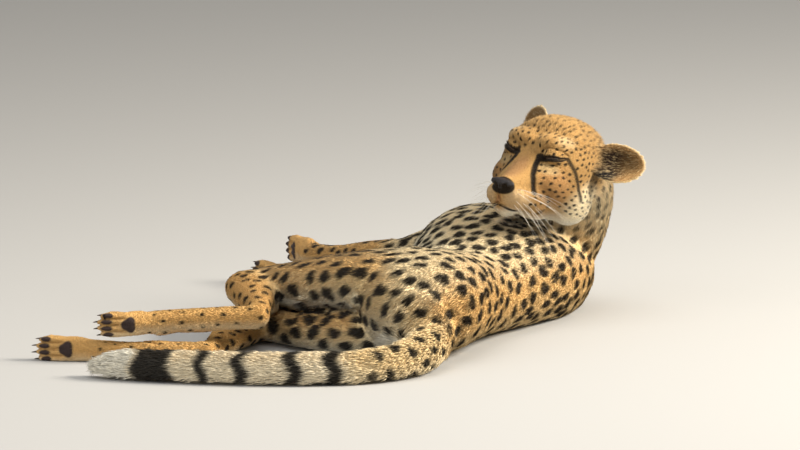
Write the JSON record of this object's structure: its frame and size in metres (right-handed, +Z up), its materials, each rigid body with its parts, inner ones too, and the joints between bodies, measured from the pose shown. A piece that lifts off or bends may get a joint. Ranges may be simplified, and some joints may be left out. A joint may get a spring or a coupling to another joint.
{
  "type": "lying cheetah, still model",
  "caption": "Life-size still cheetah lying on its right side, head raised and turned back over the shoulder, tail laid along the floor.",
  "frame": {"origin": "middle of the model's footprint, on the floor it lies on", "axes": "+Y from the rump towards the shoulders, +X towards the animal's back, +Z up"},
  "size_m": [0.9564, 1.048, 0.3347],
  "materials": {
    "coat": "short fur, tan to cream with black spots",
    "eye": "wet, dark amber",
    "nose": "moist, finely grained",
    "claw": "dull horn",
    "whisker": "stiff pale hair"
  },
  "bodies": {
    "root": {"head": "coat", "ear_left": "coat", "ear_right": "coat", "eye_left": "eye", "eye_right": "eye", "nose": "nose", "neck_upper": "coat", "neck_lower": "coat", "chest": "coat", "loin": "coat", "pelvis": "coat", "tail_root": "coat", "tail_upper": "coat", "tail_lower": "coat", "tail_tip": "coat", "thigh_left": "coat", "shank_left": "coat", "foot_left": "coat", "paw_hind_left": "coat", "thigh_right": "coat", "shank_right": "coat", "foot_right": "coat", "paw_hind_right": "coat", "forearm_left": "coat", "paw_fore_left": "coat", "forearm_right": "coat", "paw_fore_right": "coat"}
  },
  "joints": []
}
